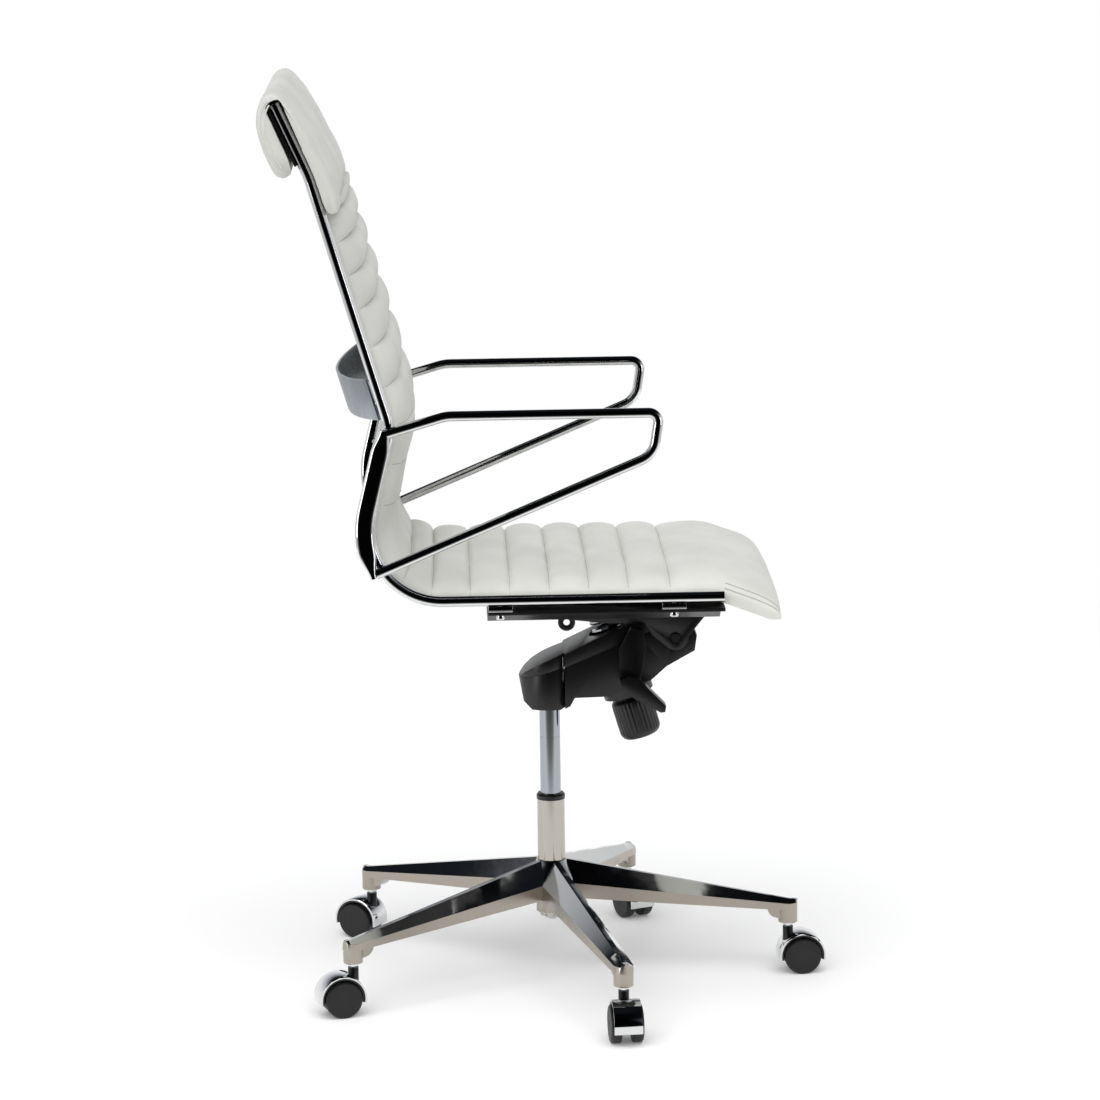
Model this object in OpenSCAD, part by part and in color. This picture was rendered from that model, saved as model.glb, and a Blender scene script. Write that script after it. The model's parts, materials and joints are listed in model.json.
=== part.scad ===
/* [Base] */
// Distance from the column axis to each caster socket
socket_radius = 320; // [290:5:345]
// Direction of the first leg, seen from above
first_leg_angle = -93; // [-108:1:-72]
// Height of the socket mouths above the floor
socket_low = 70; // [68:1:76]
// Height of the ridge where the legs meet the column
hub_top = 160; // [150:1:170]

/* [Casters] */
// Wheel diameter
wheel_d = 50; // [46:1:50]
// Distance from the stem axis to the axle
trail = 18; // [16:1:20]
// Width across both wheels
caster_w = 44; // [42:1:48]

/* [Column] */
// Outer diameter of the fixed tube
column_d = 37.5; // [36:0.5:40]
// Diameter of the gas cylinder
cylinder_d = 28; // [28:0.5:28.5]
// Height of the fixed tube's mouth
column_top = 245; // [235:1:250]

/* [Seat frame] */
// Distance between the outer faces of the two rails
frame_w = 469; // [440:1:500]
// Height of the rail's centreline along the seat
rail_z = 563; // [560:1:566]
// Lean of the back above the lumbar bend
back_lean = 16.5; // [14:0.5:18]
// Rail thickness, in the side view
rail_t = 14; // [12:1:15]
// Rail width, across the chair
rail_w = 18; // [16:1:20]

/* [Upholstery] */
// Height of the pads in front of the rail's centreline
pad_front = 30; // [24:1:34]
// Depth of the pads behind the rail's centreline
pad_rear = 10; // [8:1:12]
// Width of the head cushion
headrest_w = 478; // [470:1:500]

/* [Arms] */
// Thickness of the arm rod
arm_d = 13; // [11:1:14]
// Height of the arm's top rod
arm_z = 806.5; // [800:0.5:812]

/* [Hidden] */
$fn = 48;

// Colours
chrome = [0.80, 0.80, 0.81];
polished = [0.74, 0.74, 0.73];
satin = [0.55, 0.58, 0.62];
steel = [0.62, 0.62, 0.64];
black = [0.06, 0.06, 0.065];
leather = [0.87, 0.87, 0.85];

// Clearances on the radius: between moving parts, and between parts that stay together
fit = 0.05;
seat_fit = 0.02;
// A bend is a hair fuller than the straight runs, and they reach this far into it
fuller = 0.05;
lap = 1;

// Base
leg_count = 5;
leg_step = 360 / leg_count;
leg_root = 14;
leg_tip = socket_radius + 3;
leg_tip_top = 102;
leg_ridge = 3.5;
socket_r = 13;
socket_top = socket_low + 29;
hub_r = 34;
hub_low = 88;
hub_wall_top = 142;
boss_r = 21.5;
socket_depth = 23;
cone_low = 95;
cone_r = 16.5;
column_r = column_d / 2;
tube_low = 83;

// Casters: the way each one trails, seen from above
trail_angles = [-85, -175, 106, 61, 205];
wheel_r = wheel_d / 2;
stem_r = 5.5;
neck_r = 7;
spindle_r = 4;
spindle_low = 38;
neck_low = 66.5;
axle_r = 3;
web_half = 6.75;
wheel_inner = web_half + 0.5;
wheel_outer = caster_w / 2;
liner_r = wheel_r + 1.4;
hood_inner = liner_r + 2.6;
hood_outer = hood_inner + 2.4;
hood_sweep = 204;

// Column
tube_wall = 3;
bush_low = 190;
collar_h = 5.5;
collar_chamfer = 2.5;
cylinder_r = cylinder_d / 2;
cylinder_low = 185;
cylinder_top = 408;
taper_low = 375;
joint_line_z = 331;
cone_top_r = cylinder_r - 0.8;
rod_r = 5;
rod_low = 77;
clip_z = 79.4;
piston_r = 10.9;
piston_z = 206;
cavity_r = 11;
bearing_z = 88;
bearing_r = 13.5;
washer_t = 2;
ball_race_h = 6;
pin_r = 4;
pin_low = 396;
pin_top = 413.4;

// Mechanism. Side-view points are [y, z].
pivot = [-168, 474];
axle_pin_r = 6;
ear_gap = 50;
ear_t = 4;
ear_top = 511;
housing_half = 47.5;
knob_tilt = 16.6;
knob_foot = [-125, 329.5];
knob_r = 28;
knob_h = 57;
drum_r = 47;
drum_low = 92;
neck_drum_r = 34;
neck_drum_low = 62;
spring_r = 20;
spring_wire = 6;
spring_low = 104;
spring_high = 176;
spring_turns = 6;
lever_axis = [-116, 476];
lever_r = 5;
lever_outer = -70;
lever_inner = 36;
paddle_x = -74;
rocker_pivot = [22, 416];
rocker_pin_r = 2.5;
plate_top = 519;
plate_t = 4;
lug_hole = [-23, 497.5];
lug_hole_r = 4.3;
lug_r = 11.5;

// Frame. Side-view corners of the rail's centreline, as [y, z].
rail_x = (frame_w - rail_w) / 2;
lumbar = [205, 790];
shoulder = [lumbar.x + 324 * tan(back_lean), 1114];
rail_path = [[-222, rail_z], [255, rail_z], lumbar, shoulder, [342, 1205]];
rail_bends = [92, 60, 100];
rail_edge = 4;
wing_z = 549;
wing_t = 4.5;
bolt_rows = [67, -157];
bolt_r = 3;
bolt_head_r = 5.5;
bolt_head_h = 6.5;

// Arms
arm_x = frame_w / 2 + 6.9;
arm_r = arm_d / 2;
arm_top_path = [[212, 784], [133, arm_z], [-140, arm_z], [-131.5, 752], [226, 603]];
arm_bends = [60, 12, 32];
bracket_path = [[211, 789], [244, 655], [229, 598]];
bracket_w = 24;
bracket_t = 13.6;
arm_screw_at = [[233, 702], [242, 640]];
arm_screw_r = 2.5;
screw_cap_r = 4;

// Strap
strap_z = 829;
strap_h = 54;
strap_t = 3.5;
strap_bulge = 45;

// Upholstery
pad_half = rail_x - rail_w / 2 - 0.5;
seat_pad_path = [[-200, rail_z], [255, rail_z], [229.5, 680]];
back_pad_path = [[229.2, 681.5], lumbar, [287.6, 1068.4]];

// ---------- Shapes shared by several parts ----------

// Turns an outline drawn as [y, z] into a slab centred on x
module slab(x, width) {
    translate([x - width / 2, 0, 0]) rotate([90, 0, 90]) linear_extrude(width) children();
}

// A round bar along the x axis
module cross_bar(at, r, x0, x1) {
    translate([x0, at.x, at.y]) rotate([0, 90, 0]) cylinder(r = r, h = x1 - x0);
}

// The same shape on both sides of the chair
module both_sides() {
    children();
    mirror([1, 0, 0]) children();
}

function heading(p, q) = atan2(q.y - p.y, q.x - p.x);
function wrap(a) = a > 180 ? a - 360 : a < -180 ? a + 360 : a;
function turn_at(path, i) = wrap(heading(path[i], path[i + 1]) - heading(path[i - 1], path[i]));
function inner_corner(path, i) = i > 0 && i < len(path) - 1;
function setback(path, radii, i) = inner_corner(path, i) ? radii[i - 1] * tan(abs(turn_at(path, i)) / 2) : 0;
function lap_at(path, i) = inner_corner(path, i) ? lap : 0;

// A bar of any section bent along a side-view path: section x is the path's left, y is across the chair
module bent_bar(path, radii) {
    rotate([90, 0, 90]) {
        for (i = [0 : len(path) - 2]) {
            start = setback(path, radii, i) - lap_at(path, i);
            end = norm(path[i + 1] - path[i]) - setback(path, radii, i + 1) + lap_at(path, i + 1);
            translate([path[i].x, path[i].y, 0])
                rotate([0, 0, heading(path[i], path[i + 1])])
                translate([start, 0, 0])
                rotate([90, 0, 90])
                linear_extrude(end - start) children(0);
        }
        for (i = [1 : len(path) - 2]) {
            turn = turn_at(path, i);
            side = sign(turn);
            r = radii[i - 1];
            a = heading(path[i - 1], path[i]);
            back = setback(path, radii, i);
            from = path[i] - back * [cos(a), sin(a)];
            centre = from + side * r * [-sin(a), cos(a)];
            translate([centre.x, centre.y, 0])
                rotate([0, 0, a - 90 * side + min(turn, 0)])
                rotate_extrude(angle = abs(turn))
                translate([r, 0])
                mirror([side > 0 ? 1 : 0, 0]) children(1);
        }
    }
}

module chamfered_section(w, h, c, grow = 0) {
    a = w / 2 + grow;
    b = h / 2 + grow;
    polygon([
        [-a, c - b], [c - a, -b], [a - c, -b], [a, c - b],
        [a, b - c], [a - c, b], [c - a, b], [-a, b - c]
    ]);
}

// Places children on the knob's tilted axis, z measured up it from the knob's foot
module on_knob_axis(z) {
    translate([0, knob_foot.x, knob_foot.y]) rotate([-knob_tilt, 0, 0]) translate([0, 0, z]) children();
}

// ---------- Base ----------

// A leg along +x: a tapered bar cut by two facets that slope away from its ridge
module leg() {
    fall = atan2(hub_top + 2 - leg_tip_top, leg_tip - leg_root);
    intersection() {
        translate([leg_root, 0, hub_top + 2]) rotate([0, fall, 0]) translate([-10, 0, 0])
            rotate([90, 0, 90]) linear_extrude(340) polygon([
                [-leg_ridge, 0], [leg_ridge, 0], [leg_ridge + 40, -44], [leg_ridge + 40, -120],
                [-leg_ridge - 40, -120], [-leg_ridge - 40, -44]
            ]);
        rotate([90, 0, 0]) linear_extrude(60, center = true)
            polygon([[leg_root, 112], [leg_tip, 88], [leg_tip, 130], [leg_root, 190]]);
        linear_extrude(200)
            polygon([
                [leg_root, -9.5], [27, -19], [leg_tip, -12.2],
                [leg_tip, 12.2], [27, 19], [leg_root, 9.5]
            ]);
    }
    difference() {
        translate([socket_radius - 32, -5, socket_low + 2]) cube([24, 10, 22]);
        translate([socket_radius - 33, 0, socket_low]) rotate([90, 0, 0])
            cylinder(r = 20, h = 20, center = true);
    }
    translate([socket_radius, 0, socket_low]) cylinder(r = socket_r, h = socket_top - socket_low);
}

module star_base() {
    color(polished) difference() {
        union() {
            for (i = [0 : leg_count - 1]) rotate([0, 0, first_leg_angle - i * leg_step]) leg();
            translate([0, 0, hub_low]) cylinder(r = boss_r, h = 30);
            translate([0, 0, 98]) cylinder(r = hub_r, h = hub_wall_top - 98);
            translate([0, 0, hub_wall_top]) cylinder(r1 = hub_r, r2 = 22, h = hub_top - hub_wall_top);
        }
        translate([0, 0, hub_low - 8]) cylinder(r = cone_r + seat_fit, h = cone_low - hub_low + 8);
        translate([0, 0, cone_low])
            cylinder(r1 = cone_r + seat_fit, r2 = column_r + seat_fit, h = hub_top - cone_low);
        translate([0, 0, hub_top]) cylinder(r = column_r + seat_fit, h = 20);
        for (i = [0 : leg_count - 1]) rotate([0, 0, first_leg_angle - i * leg_step])
            translate([socket_radius, 0, socket_low - 1])
                cylinder(r = stem_r + seat_fit, h = socket_depth + 1);
    }
}

module column_tube() {
    color(chrome) difference() {
        union() {
            translate([0, 0, tube_low]) cylinder(r = cone_r, h = cone_low - tube_low);
            translate([0, 0, cone_low]) cylinder(r1 = cone_r, r2 = column_r, h = hub_top - cone_low);
            translate([0, 0, hub_top]) cylinder(r = column_r, h = column_top - hub_top);
        }
        translate([0, 0, bearing_z - 1]) cylinder(r = cylinder_r + 2 * fit, h = 20);
        translate([0, 0, bearing_z + 14])
            cylinder(r1 = cylinder_r + 2 * fit, r2 = column_r - tube_wall, h = 50);
        translate([0, 0, bearing_z + 64]) cylinder(r = column_r - tube_wall, h = 200);
        translate([0, 0, tube_low - 1]) cylinder(r = rod_r + 0.4, h = 20);
    }
}

module guide_bush() {
    color(black) difference() {
        union() {
            translate([0, 0, bush_low])
                cylinder(r = column_r - tube_wall - seat_fit, h = column_top - bush_low);
            translate([0, 0, column_top]) cylinder(r = column_r + 0.6, h = collar_h);
            translate([0, 0, column_top + collar_h])
                cylinder(r1 = column_r + 0.6, r2 = column_r - 1.4, h = collar_chamfer);
        }
        translate([0, 0, bush_low - 10]) cylinder(r = cylinder_r + fit, h = column_top - bush_low + 25);
    }
}

module column_clip() {
    color(steel) translate([0, 0, clip_z]) difference() {
        cylinder(r = 10, h = 1.6);
        translate([0, 0, -1]) cylinder(r = rod_r - 0.8, h = 4);
        translate([0, -1.5, -1]) cube([20, 3, 4]);
    }
}

module thrust_bearing() {
    color(steel) {
        for (z = [bearing_z, bearing_z + washer_t + ball_race_h]) translate([0, 0, z]) difference() {
            cylinder(r = bearing_r - 1, h = washer_t);
            translate([0, 0, -1]) cylinder(r = rod_r + fit, h = 4);
        }
        translate([0, 0, bearing_z + washer_t]) difference() {
            cylinder(r = bearing_r - 2, h = ball_race_h);
            translate([0, 0, -1]) cylinder(r = 7, h = ball_race_h + 2);
        }
    }
}

module piston_rod() {
    color(steel) difference() {
        union() {
            translate([0, 0, rod_low]) cylinder(r = rod_r, h = piston_z - rod_low);
            translate([0, 0, piston_z]) cylinder(r = piston_r, h = 12);
        }
        translate([0, 0, clip_z - 0.2]) difference() {
            cylinder(r = rod_r + 1, h = 2);
            translate([0, 0, -1]) cylinder(r = rod_r - 0.9, h = 4);
        }
    }
}

module gas_cylinder() {
    color(chrome) difference() {
        union() {
            translate([0, 0, cylinder_low]) cylinder(r = cylinder_r, h = taper_low - cylinder_low);
            translate([0, 0, taper_low])
                cylinder(r1 = cylinder_r, r2 = cone_top_r, h = cylinder_top - taper_low);
        }
        translate([0, 0, cylinder_low - 1]) cylinder(r = rod_r + fit, h = 30);
        translate([0, 0, cylinder_low + 13]) cylinder(r = cavity_r, h = 186);
        translate([0, 0, 391]) cylinder(r = pin_r + fit, h = 30);
        translate([0, 0, joint_line_z]) difference() {
            cylinder(r = cylinder_r + 1, h = 0.8);
            translate([0, 0, -1]) cylinder(r = cylinder_r - 0.4, h = 3);
        }
    }
}

module release_pin() {
    color(steel) translate([0, 0, pin_low]) cylinder(r = pin_r, h = pin_top - pin_low);
}

// ---------- Casters ----------

module at_caster(i) {
    a = first_leg_angle - i * leg_step;
    translate([socket_radius * cos(a), socket_radius * sin(a), 0]) rotate([0, 0, trail_angles[i]]) children();
}

// An arc of a ring round the axle, seen from the side and centred on the fork
module axle_ring(inner, outer, width, sweep) {
    translate([trail, 0, wheel_r])
        rotate([90, 0, 0])
        rotate([0, 0, 90 - sweep / 2])
        rotate_extrude(angle = sweep)
        translate([inner, -width / 2]) square([outer - inner, width]);
}

module axle_bore(r, length) {
    translate([trail, 0, wheel_r]) rotate([90, 0, 0]) cylinder(r = r, h = length, center = true);
}

module caster_stems() {
    color(chrome) for (i = [0 : leg_count - 1]) at_caster(i) {
        translate([0, 0, neck_low]) cylinder(r = neck_r, h = socket_low - neck_low - 0.2);
        translate([0, 0, neck_low]) cylinder(r = stem_r, h = socket_depth + 1);
        translate([0, 0, spindle_low]) cylinder(r = spindle_r, h = 30);
    }
}

module caster_body() {
    color(black) difference() {
        union() {
            axle_ring(0, liner_r + 1, 2 * web_half, hood_sweep);
            axle_ring(liner_r, hood_inner, 34, hood_sweep);
            translate([0, 0, 34]) cylinder(r = neck_r, h = 30);
        }
        axle_bore(axle_r, 60);
        translate([0, 0, spindle_low - 2]) cylinder(r = spindle_r + fit, h = 30);
        for (side = [-1, 1]) translate([trail, side * (wheel_inner + 10), wheel_r])
            rotate([90, 0, 0]) cylinder(r = liner_r, h = 20, center = true);
    }
}

module caster_hood() {
    color(chrome) difference() {
        axle_ring(hood_inner + seat_fit, hood_outer, 37, hood_sweep);
        translate([0, 0, 40]) cylinder(r = neck_r + 0.3, h = 30);
    }
}

module caster_axle() {
    color(steel) axle_bore(axle_r - 0.01, 34);
}

// A wheel's profile as [radius, distance from the caster's middle]
module wheel_half(side) {
    wall = wheel_outer - 4.4;
    color(black) translate([trail, 0, wheel_r]) rotate([side * 90, 0, 0]) rotate_extrude() polygon([
        [axle_r + fit, wheel_inner], [wheel_r - 1.2, wheel_inner], [wheel_r, wheel_inner + 1.4],
        [wheel_r, wheel_outer - 2.6], [wheel_r - 2, wheel_outer - 0.7], [wheel_r - 4, wheel_outer - 0.7],
        [0, wheel_outer], [0, wall], [axle_r + fit, wall]
    ]);
}

// ---------- Mechanism ----------

module housing_plan() {
    cylinder(r = 41, h = 700);
    translate([-housing_half, -150, 0]) cube([2 * housing_half, 130, 700]);
    translate([-housing_half, -210, 0]) cube([2 * housing_half, 80, 700]);
}

module spring_drum(r, low, high) {
    on_knob_axis(low) cylinder(r = r, h = high - low);
}

module housing_cavity() {
    intersection() {
        slab(0, 74) polygon([
            [36, 440], [33, 394], [-18, 394], [-34, 403], [-75, 412],
            [-100, 440], [-128, 464], [-128, 500], [-40, 500]
        ]);
        union() {
            cylinder(r = 37, h = 700);
            translate([-37, -130, 0]) cube([74, 130, 700]);
        }
    }
    spring_drum(drum_r - 4, drum_low + 5, 200);
}

module mechanism_housing() {
    color(black) difference() {
        union() {
            difference() {
                union() {
                    intersection() {
                        slab(0, 100) polygon([
                            [41, 417], [35, 385], [24, 375], [-14, 375], [-27, 382], [-33, 393], [-78, 394],
                            [-136, 416], [-156, 434], [-194, 455], [-197, 476], [-190, 489], [-150, 489],
                            [-85, 461], [-10, 430], [30, 418]
                        ]);
                        housing_plan();
                    }
                    intersection() {
                        spring_drum(drum_r, drum_low, 180);
                        slab(0, 100) polygon([
                            [-30, 380], [-200, 380], [-200, 489], [-150, 489], [-85, 461], [-30, 438]
                        ]);
                    }
                    spring_drum(neck_drum_r, neck_drum_low, drum_low + 2);
                    cross_bar(pivot, 16, -housing_half, housing_half);
                }
                housing_cavity();
            }
            translate([0, 0, 376]) cylinder(r = 22, h = 29);
            for (x = [-12, 8]) translate([x, rocker_pivot.x - 5, 393]) cube([4, 10, rocker_pivot.y - 389]);
        }
        translate([0, 0, taper_low - 5]) cylinder(r = cylinder_r + seat_fit, h = 5);
        translate([0, 0, taper_low])
            cylinder(r1 = cylinder_r + seat_fit, r2 = cone_top_r + seat_fit, h = cylinder_top - taper_low);
        on_knob_axis(50) cylinder(r = 5.6, h = 60);
        cross_bar(pivot, axle_pin_r + fit, -60, 60);
        cross_bar(lever_axis, lever_r + fit, -60, 42);
        cross_bar(rocker_pivot, rocker_pin_r, -14, 14);
    }
}

module housing_cover() {
    color(black) difference() {
        intersection() {
            slab(0, 100) polygon([
                [40, 417.6], [33, 425], [22, 433], [9, 440], [-16, 451], [-40, 462], [-78, 480], [-112, 493],
                [-150, 497], [-150, 489.3], [-85, 461.3], [-10, 430.3], [30, 418.3]
            ]);
            housing_plan();
        }
        intersection() {
            slab(0, 88) polygon([
                [31, 400], [31, 422], [9, 436], [-16, 447], [-40, 458],
                [-78, 476], [-112, 489], [-138, 492], [-138, 400]
            ]);
            union() {
                cylinder(r = 36, h = 700);
                translate([-37, -138, 0]) cube([74, 138, 700]);
            }
        }
        on_knob_axis(90) cylinder(r = 28, h = 120);
        cross_bar(lever_axis, lever_r + fit, -60, 60);
    }
}

module release_rocker() {
    color(steel) difference() {
        union() {
            slab(0, 13) polygon([
                [27, 413.9], [27, 419], [5, 419], [-36, 428], [-48, 428], [-48, 424], [-36, 424], [6, 413.9]
            ]);
            translate([0, -48, 424]) cube([36, 14, 4]);
            cross_bar(rocker_pivot, 4.5, -6.5, 6.5);
        }
        cross_bar(rocker_pivot, rocker_pin_r + fit, -20, 20);
    }
}

module rocker_pin() {
    color(steel) cross_bar(rocker_pivot, rocker_pin_r - seat_fit, -13, 13);
}

module height_lever() {
    color(black) {
        cross_bar(lever_axis, lever_r, lever_outer, lever_inner);
        slab(lever_inner - 3.5, 5) polygon([
            [-121, 472], [-118, 482], [-110, 481], [-36, 435], [-36, 430], [-41, 429], [-46, 433]
        ]);
        slab(lever_outer + 4, 9) polygon([
            [-108, 492], [-124, 488], [-128, 470], [-124, 440], [-118, 416], [-94, 414],
            [-92, 440], [-92, 462], [-100, 478]
        ]);
        slab(paddle_x, 24) polygon([
            [-94, 414], [-92, 424], [-104, 430], [-118, 424],
            [-153, 388], [-152, 380], [-146, 379], [-112, 398]
        ]);
    }
}

module tension_knob() {
    color(black) on_knob_axis(0) difference() {
        union() {
            cylinder(r1 = knob_r - 4, r2 = knob_r, h = 4);
            translate([0, 0, 4]) cylinder(r = knob_r, h = knob_h - 4);
        }
        translate([0, 0, 20]) cylinder(r = 5.02, h = 60);
    }
}

module tension_bolt() {
    color(steel) on_knob_axis(20) cylinder(r = 5, h = 90);
}

module spring_plate() {
    color(steel) on_knob_axis(98) difference() {
        cylinder(r = 30, h = 4);
        translate([0, 0, -1]) cylinder(r = 5.02, h = 6);
    }
}

// A coil of round wire, swept as rings of eight points
module coil(mean_r, wire_r, height, turns) {
    steps = 14 * turns;
    sides = 8;
    rings = [for (i = [0 : steps]) let(a = 360 * turns * i / steps, z = height * i / steps)
        for (j = [0 : sides - 1]) let(b = 360 * j / sides, r = mean_r + wire_r * cos(b))
            [r * cos(a), r * sin(a), z + wire_r * sin(b)]];
    skin = [for (i = [0 : steps - 1]) for (j = [0 : sides - 1]) let(k = (j + 1) % sides)
        [i * sides + j, i * sides + k, (i + 1) * sides + k, (i + 1) * sides + j]];
    first = [for (j = [0 : sides - 1]) sides - 1 - j];
    last = [for (j = [0 : sides - 1]) steps * sides + j];
    polyhedron(points = rings, faces = concat([first], skin, [last]));
}

module tilt_spring() {
    color(steel) on_knob_axis(spring_low + spring_wire / 2 - 1.8)
        coil(spring_r, spring_wire / 2, spring_high - spring_low, spring_turns);
}

module pivot_axle() {
    color(steel) cross_bar(pivot, axle_pin_r, -57, 57);
}

// Cross plate that the two ears hang from
module tilt_bracket() {
    color(black) translate([-ear_gap - ear_t, -207, ear_top])
        cube([2 * (ear_gap + ear_t), 237, plate_top - plate_t - ear_top - 0.02]);
}

module bracket_ears() {
    color(black) both_sides() difference() {
        slab(-ear_gap - ear_t / 2, ear_t) {
            polygon([
                [24, ear_top], [24, 507], [-79, 495], [-126, 495], [-137, 478], [-156, 462], [-180, 461],
                [-184, 474], [-207, 502], [-207, ear_top]
            ]);
            translate(lug_hole) circle(r = lug_r);
            translate(pivot) circle(r = 17);
        }
        cross_bar(lug_hole, lug_hole_r, -60, -40);
        cross_bar(pivot, axle_pin_r + seat_fit, -60, -40);
    }
}

module seat_plate() {
    outer = frame_w / 2 - 1.5;
    low = plate_top - plate_t;
    color(black) difference() {
        translate([0, 83, 0]) rotate([90, 0, 0]) linear_extrude(306) polygon([
            [-outer, wing_z], [-172, wing_z], [-118, plate_top],
            [118, plate_top], [172, wing_z], [outer, wing_z],
            [outer, wing_z - wing_t], [174, wing_z - wing_t], [119.5, low],
            [-119.5, low], [-174, wing_z - wing_t], [-outer, wing_z - wing_t]
        ]);
        for (x = [-1, 1], y = bolt_rows) translate([x * rail_x, y, 530]) cylinder(r = bolt_r + 0.2, h = 30);
    }
}

// ---------- Frame ----------

module rail_blocks() {
    color(chrome) for (x = [-1, 1], y = bolt_rows) difference() {
        translate([x * rail_x - 8.5, y - 15.5, wing_z]) cube([17, 31, rail_z - rail_t / 2 - wing_z]);
        translate([x * rail_x, y, 540]) cylinder(r = bolt_r + 0.2, h = 30);
    }
}

module frame_bolts() {
    color(chrome) for (x = [-1, 1], y = bolt_rows) translate([x * rail_x, y, wing_z - 4.5]) {
        translate([0, 0, -bolt_head_h]) cylinder(r = bolt_head_r, h = bolt_head_h);
        cylinder(r = bolt_r, h = 17);
    }
}

module rail_right() {
    color(chrome) difference() {
        translate([-rail_x, 0, 0]) bent_bar(rail_path, rail_bends) {
            chamfered_section(rail_t, rail_w, rail_edge);
            chamfered_section(rail_t, rail_w, rail_edge, fuller);
        }
        for (y = bolt_rows) translate([-rail_x, y, 550]) cylinder(r = bolt_r + seat_fit, h = 12.5);
        for (at = arm_screw_at) cross_bar(at, arm_screw_r + seat_fit, -260, -rail_x - 1);
    }
}

module rail_left() {
    mirror([1, 0, 0]) rail_right();
}

module arm_right() {
    color(chrome) difference() {
        translate([-arm_x, 0, 0]) {
            bent_bar(arm_top_path, arm_bends) {
                circle(r = arm_r);
                circle(r = arm_r + fuller);
            }
            bent_bar(bracket_path, [130]) {
                chamfered_section(bracket_w, bracket_t, 4);
                chamfered_section(bracket_w, bracket_t, 4, fuller);
            }
        }
        for (at = arm_screw_at) {
            cross_bar(at, arm_screw_r + seat_fit, -260, -200);
            cross_bar(at, screw_cap_r, -260, -arm_x - bracket_t / 2 + 1.5);
        }
    }
}

module arm_left() {
    mirror([1, 0, 0]) arm_right();
}

module arm_screws() {
    color(steel) both_sides() for (at = arm_screw_at) {
        cross_bar(at, arm_screw_r, -arm_x - bracket_t / 2 + 1, -rail_x - 1.5);
        cross_bar(at, screw_cap_r - 0.1, -arm_x - bracket_t / 2 + 0.2, -arm_x - bracket_t / 2 + 1.4);
    }
}

// Places children on the back's slope, z measured along it from the given height
module on_back(z) {
    translate([0, lumbar.x + (z - lumbar.y) * tan(back_lean), z]) rotate([-back_lean, 0, 0]) children();
}

module back_strap() {
    half = rail_x;
    r = (half * half + strap_bulge * strap_bulge) / (2 * strap_bulge);
    sweep = 2 * asin(half / r);
    color(satin) on_back(strap_z)
        translate([0, strap_bulge + (rail_t + strap_t) / 2 + 0.1 - r, -strap_h / 2])
        rotate([0, 0, 90 - sweep / 2])
        rotate_extrude(angle = sweep, $fn = 96)
        translate([r - strap_t / 2, 0]) square([strap_t, strap_h]);
}

module headrest_plate() {
    tilt = 90 - heading(shoulder, rail_path[4]);
    color(black) translate([0, shoulder.x, shoulder.y]) rotate([-tilt, 0, 0])
        translate([-rail_x - 8.5, rail_t / 2 + 0.1, 18]) cube([2 * rail_x + 17, 3, 78]);
}

// ---------- Upholstery ----------

module pad_section(grow = 0) {
    translate([-pad_rear - grow, -pad_half - grow])
        square([pad_front + pad_rear + 2 * grow, 2 * (pad_half + grow)]);
}

module seat_cushion() {
    color(leather) {
        bent_bar(seat_pad_path, [92]) {
            pad_section();
            pad_section(fuller);
        }
        slab(0, 2 * pad_half) polygon([
            [-190, 553.5], [-190, 592.5], [-235, 589], [-262, 577], [-285, 562], [-299, 546], [-301, 536],
            [-294, 522], [-285, 520], [-248, 535], [-224, 550]
        ]);
    }
}

module back_cushion() {
    color(leather) {
        bent_bar(back_pad_path, [60]) {
            pad_section();
            pad_section(fuller);
        }
    }
}

module headrest() {
    color(leather) slab(0, headrest_w) polygon([
        [262, 1078], [265, 1094], [272, 1116], [283, 1138], [295, 1163], [307, 1182], [316, 1196], [325, 1206],
        [333, 1215], [342, 1220], [352, 1218], [361, 1209], [366, 1194], [366, 1173], [358, 1147], [348, 1128],
        [339, 1114], [331, 1114], [329, 1120], [340, 1150], [352, 1178], [356, 1198], [351, 1208], [338, 1211],
        [333, 1206], [294, 1118], [282, 1077]
    ]);
}

// ---------- Assembly ----------

star_base();
column_tube();
guide_bush();
column_clip();
caster_stems();
thrust_bearing();
piston_rod();
gas_cylinder();
release_pin();
mechanism_housing();
housing_cover();
release_rocker();
rocker_pin();
height_lever();
tension_knob();
tension_bolt();
spring_plate();
tilt_spring();
pivot_axle();
tilt_bracket();
bracket_ears();
seat_plate();
rail_blocks();
frame_bolts();
rail_left();
rail_right();
arm_left();
arm_right();
arm_screws();
back_strap();
headrest_plate();
seat_cushion();
back_cushion();
headrest();
at_caster(0) caster_body();  // caster_body_1
at_caster(1) caster_body();  // caster_body_2
at_caster(2) caster_body();  // caster_body_3
at_caster(3) caster_body();  // caster_body_4
at_caster(4) caster_body();  // caster_body_5
at_caster(0) caster_hood();  // caster_hood_1
at_caster(1) caster_hood();  // caster_hood_2
at_caster(2) caster_hood();  // caster_hood_3
at_caster(3) caster_hood();  // caster_hood_4
at_caster(4) caster_hood();  // caster_hood_5
at_caster(0) caster_axle();  // caster_axle_1
at_caster(1) caster_axle();  // caster_axle_2
at_caster(2) caster_axle();  // caster_axle_3
at_caster(3) caster_axle();  // caster_axle_4
at_caster(4) caster_axle();  // caster_axle_5
at_caster(0) wheel_half(1);  // wheel_1a
at_caster(1) wheel_half(1);  // wheel_2a
at_caster(2) wheel_half(1);  // wheel_3a
at_caster(3) wheel_half(1);  // wheel_4a
at_caster(4) wheel_half(1);  // wheel_5a
at_caster(0) wheel_half(-1);  // wheel_1b
at_caster(1) wheel_half(-1);  // wheel_2b
at_caster(2) wheel_half(-1);  // wheel_3b
at_caster(3) wheel_half(-1);  // wheel_4b
at_caster(4) wheel_half(-1);  // wheel_5b
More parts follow.
